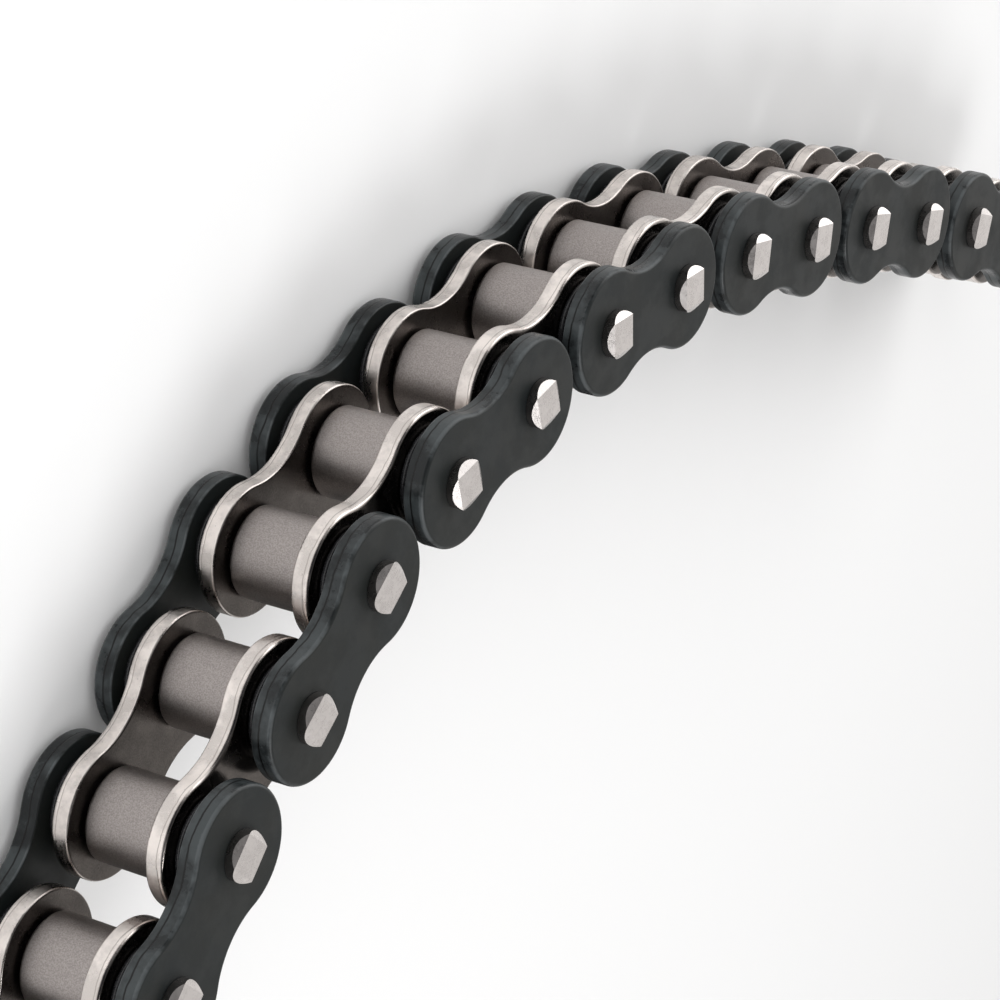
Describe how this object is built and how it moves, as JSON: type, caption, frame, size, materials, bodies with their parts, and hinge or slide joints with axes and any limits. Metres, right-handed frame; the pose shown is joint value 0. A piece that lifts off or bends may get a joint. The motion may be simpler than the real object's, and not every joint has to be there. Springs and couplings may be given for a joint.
{
  "type": "roller chain",
  "caption": "Strand of sealed roller chain in a curved rest pose, with waisted dark outer plates, bright inner plates, spinning rollers, ring seals and staked pins.",
  "frame": {"origin": "centre of the strand's box in plan, on the plane that the lower pin ends rest on", "axes": "+Z along the pins; +X along the last link, the way the strand runs off; +Y completes the frame"},
  "size_m": [0.1998, 0.126, 0.0248],
  "materials": {
    "black_plate": "satin black oxide",
    "nickel_plate": "bright nickel plate",
    "bush_steel": "ground",
    "pin_steel": "bright staked ends",
    "roller_steel": "fine tumbled, matt",
    "seal_rubber": "oiled gloss"
  },
  "bodies": {
    "inner_link_01": {"inner_plates_01": "nickel_plate", "bushes_01": "bush_steel", "seals_01": "seal_rubber"},
    "roller_01a": {"roller_01a": "roller_steel"},
    "roller_01b": {"roller_01b": "roller_steel"},
    "outer_link_02": {"outer_plates_02": "black_plate", "pins_02": "pin_steel"},
    "inner_link_03": {"inner_plates_03": "nickel_plate", "bushes_03": "bush_steel", "seals_03": "seal_rubber"},
    "roller_03a": {"roller_03a": "roller_steel"},
    "roller_03b": {"roller_03b": "roller_steel"},
    "outer_link_04": {"outer_plates_04": "black_plate", "pins_04": "pin_steel"},
    "inner_link_05": {"inner_plates_05": "nickel_plate", "bushes_05": "bush_steel", "seals_05": "seal_rubber"},
    "roller_05a": {"roller_05a": "roller_steel"},
    "roller_05b": {"roller_05b": "roller_steel"},
    "outer_link_06": {"outer_plates_06": "black_plate", "pins_06": "pin_steel"},
    "inner_link_07": {"inner_plates_07": "nickel_plate", "bushes_07": "bush_steel", "seals_07": "seal_rubber"},
    "roller_07a": {"roller_07a": "roller_steel"},
    "roller_07b": {"roller_07b": "roller_steel"},
    "outer_link_08": {"outer_plates_08": "black_plate", "pins_08": "pin_steel"},
    "inner_link_09": {"inner_plates_09": "nickel_plate", "bushes_09": "bush_steel", "seals_09": "seal_rubber"},
    "roller_09a": {"roller_09a": "roller_steel"},
    "roller_09b": {"roller_09b": "roller_steel"},
    "outer_link_10": {"outer_plates_10": "black_plate", "pins_10": "pin_steel"},
    "inner_link_11": {"inner_plates_11": "nickel_plate", "bushes_11": "bush_steel", "seals_11": "seal_rubber"},
    "roller_11a": {"roller_11a": "roller_steel"},
    "roller_11b": {"roller_11b": "roller_steel"},
    "outer_link_12": {"outer_plates_12": "black_plate", "pins_12": "pin_steel"},
    "inner_link_13": {"inner_plates_13": "nickel_plate", "bushes_13": "bush_steel", "seals_13": "seal_rubber"},
    "roller_13a": {"roller_13a": "roller_steel"},
    "roller_13b": {"roller_13b": "roller_steel"},
    "outer_link_14": {"outer_plates_14": "black_plate", "pins_14": "pin_steel"},
    "inner_link_15": {"inner_plates_15": "nickel_plate", "bushes_15": "bush_steel", "seals_15": "seal_rubber"},
    "roller_15a": {"roller_15a": "roller_steel"},
    "roller_15b": {"roller_15b": "roller_steel"}
  },
  "joints": [
    {"name": "fold_01", "type": "hinge", "parent": "outer_link_02", "child": "inner_link_01", "pos_m": [-0.08879, -0.04037, 0.0124], "axis": [0, 0, 1], "range_deg": [-122, 108]},
    {"name": "fold_02", "type": "hinge", "parent": "inner_link_03", "child": "outer_link_02", "pos_m": [-0.0831, -0.02555, 0.0124], "axis": [0, 0, -1], "range_deg": [-107, 123]},
    {"name": "fold_03", "type": "hinge", "parent": "outer_link_04", "child": "inner_link_03", "pos_m": [-0.0754, -0.01166, 0.0124], "axis": [0, 0, 1], "range_deg": [-115, 115]},
    {"name": "fold_04", "type": "hinge", "parent": "inner_link_05", "child": "outer_link_04", "pos_m": [-0.06771, 0.00222, 0.0124], "axis": [0, 0, -1], "range_deg": [-100, 130]},
    {"name": "fold_05", "type": "hinge", "parent": "outer_link_06", "child": "inner_link_05", "pos_m": [-0.05668, 0.01364, 0.0124], "axis": [0, 0, 1], "range_deg": [-124, 106]},
    {"name": "fold_06", "type": "hinge", "parent": "inner_link_07", "child": "outer_link_06", "pos_m": [-0.044, 0.02319, 0.0124], "axis": [0, 0, -1], "range_deg": [-112, 118]},
    {"name": "fold_07", "type": "hinge", "parent": "outer_link_08", "child": "inner_link_07", "pos_m": [-0.03084, 0.03207, 0.0124], "axis": [0, 0, 1], "range_deg": [-124, 106]},
    {"name": "fold_08", "type": "hinge", "parent": "outer_link_08", "child": "inner_link_09", "pos_m": [-0.01645, 0.03878, 0.0124], "axis": [0, 0, 1], "range_deg": [-110, 120]},
    {"name": "fold_09", "type": "hinge", "parent": "inner_link_09", "child": "outer_link_10", "pos_m": [-0.00154, 0.04421, 0.0124], "axis": [0, 0, -1], "range_deg": [-121, 109]},
    {"name": "fold_10", "type": "hinge", "parent": "outer_link_10", "child": "inner_link_11", "pos_m": [0.01387, 0.04805, 0.0124], "axis": [0, 0, 1], "range_deg": [-113, 117]},
    {"name": "fold_11", "type": "hinge", "parent": "inner_link_11", "child": "outer_link_12", "pos_m": [0.0294, 0.05135, 0.0124], "axis": [0, 0, -1], "range_deg": [-118, 112]},
    {"name": "fold_12", "type": "hinge", "parent": "outer_link_12", "child": "inner_link_13", "pos_m": [0.04507, 0.05384, 0.0124], "axis": [0, 0, 1], "range_deg": [-111, 119]},
    {"name": "fold_13", "type": "hinge", "parent": "inner_link_13", "child": "outer_link_14", "pos_m": [0.06089, 0.05522, 0.0124], "axis": [0, 0, -1], "range_deg": [-118, 112]},
    {"name": "fold_14", "type": "hinge", "parent": "outer_link_14", "child": "inner_link_15", "pos_m": [0.07676, 0.05577, 0.0124], "axis": [0, 0, 1], "range_deg": [-113, 117]},
    {"name": "spin_01a", "type": "hinge", "parent": "inner_link_01", "child": "roller_01a", "pos_m": [-0.09263, -0.05577, 0.0124], "axis": [0, 0, 1], "continuous": true},
    {"name": "spin_01b", "type": "hinge", "parent": "inner_link_01", "child": "roller_01b", "pos_m": [-0.08879, -0.04037, 0.0124], "axis": [0, 0, 1], "continuous": true},
    {"name": "spin_03a", "type": "hinge", "parent": "inner_link_03", "child": "roller_03a", "pos_m": [-0.0831, -0.02555, 0.0124], "axis": [0, 0, 1], "continuous": true},
    {"name": "spin_03b", "type": "hinge", "parent": "inner_link_03", "child": "roller_03b", "pos_m": [-0.0754, -0.01166, 0.0124], "axis": [0, 0, 1], "continuous": true},
    {"name": "spin_05a", "type": "hinge", "parent": "inner_link_05", "child": "roller_05a", "pos_m": [-0.06771, 0.00222, 0.0124], "axis": [0, 0, 1], "continuous": true},
    {"name": "spin_05b", "type": "hinge", "parent": "inner_link_05", "child": "roller_05b", "pos_m": [-0.05668, 0.01364, 0.0124], "axis": [0, 0, 1], "continuous": true},
    {"name": "spin_07a", "type": "hinge", "parent": "inner_link_07", "child": "roller_07a", "pos_m": [-0.044, 0.02319, 0.0124], "axis": [0, 0, 1], "continuous": true},
    {"name": "spin_07b", "type": "hinge", "parent": "inner_link_07", "child": "roller_07b", "pos_m": [-0.03084, 0.03207, 0.0124], "axis": [0, 0, 1], "continuous": true},
    {"name": "spin_09a", "type": "hinge", "parent": "inner_link_09", "child": "roller_09a", "pos_m": [-0.01645, 0.03878, 0.0124], "axis": [0, 0, 1], "continuous": true},
    {"name": "spin_09b", "type": "hinge", "parent": "inner_link_09", "child": "roller_09b", "pos_m": [-0.00154, 0.04421, 0.0124], "axis": [0, 0, 1], "continuous": true},
    {"name": "spin_11a", "type": "hinge", "parent": "inner_link_11", "child": "roller_11a", "pos_m": [0.01387, 0.04805, 0.0124], "axis": [0, 0, 1], "continuous": true},
    {"name": "spin_11b", "type": "hinge", "parent": "inner_link_11", "child": "roller_11b", "pos_m": [0.0294, 0.05135, 0.0124], "axis": [0, 0, 1], "continuous": true},
    {"name": "spin_13a", "type": "hinge", "parent": "inner_link_13", "child": "roller_13a", "pos_m": [0.04507, 0.05384, 0.0124], "axis": [0, 0, 1], "continuous": true},
    {"name": "spin_13b", "type": "hinge", "parent": "inner_link_13", "child": "roller_13b", "pos_m": [0.06089, 0.05522, 0.0124], "axis": [0, 0, 1], "continuous": true},
    {"name": "spin_15a", "type": "hinge", "parent": "inner_link_15", "child": "roller_15a", "pos_m": [0.07676, 0.05577, 0.0124], "axis": [0, 0, 1], "continuous": true},
    {"name": "spin_15b", "type": "hinge", "parent": "inner_link_15", "child": "roller_15b", "pos_m": [0.09263, 0.05577, 0.0124], "axis": [0, 0, 1], "continuous": true}
  ]
}
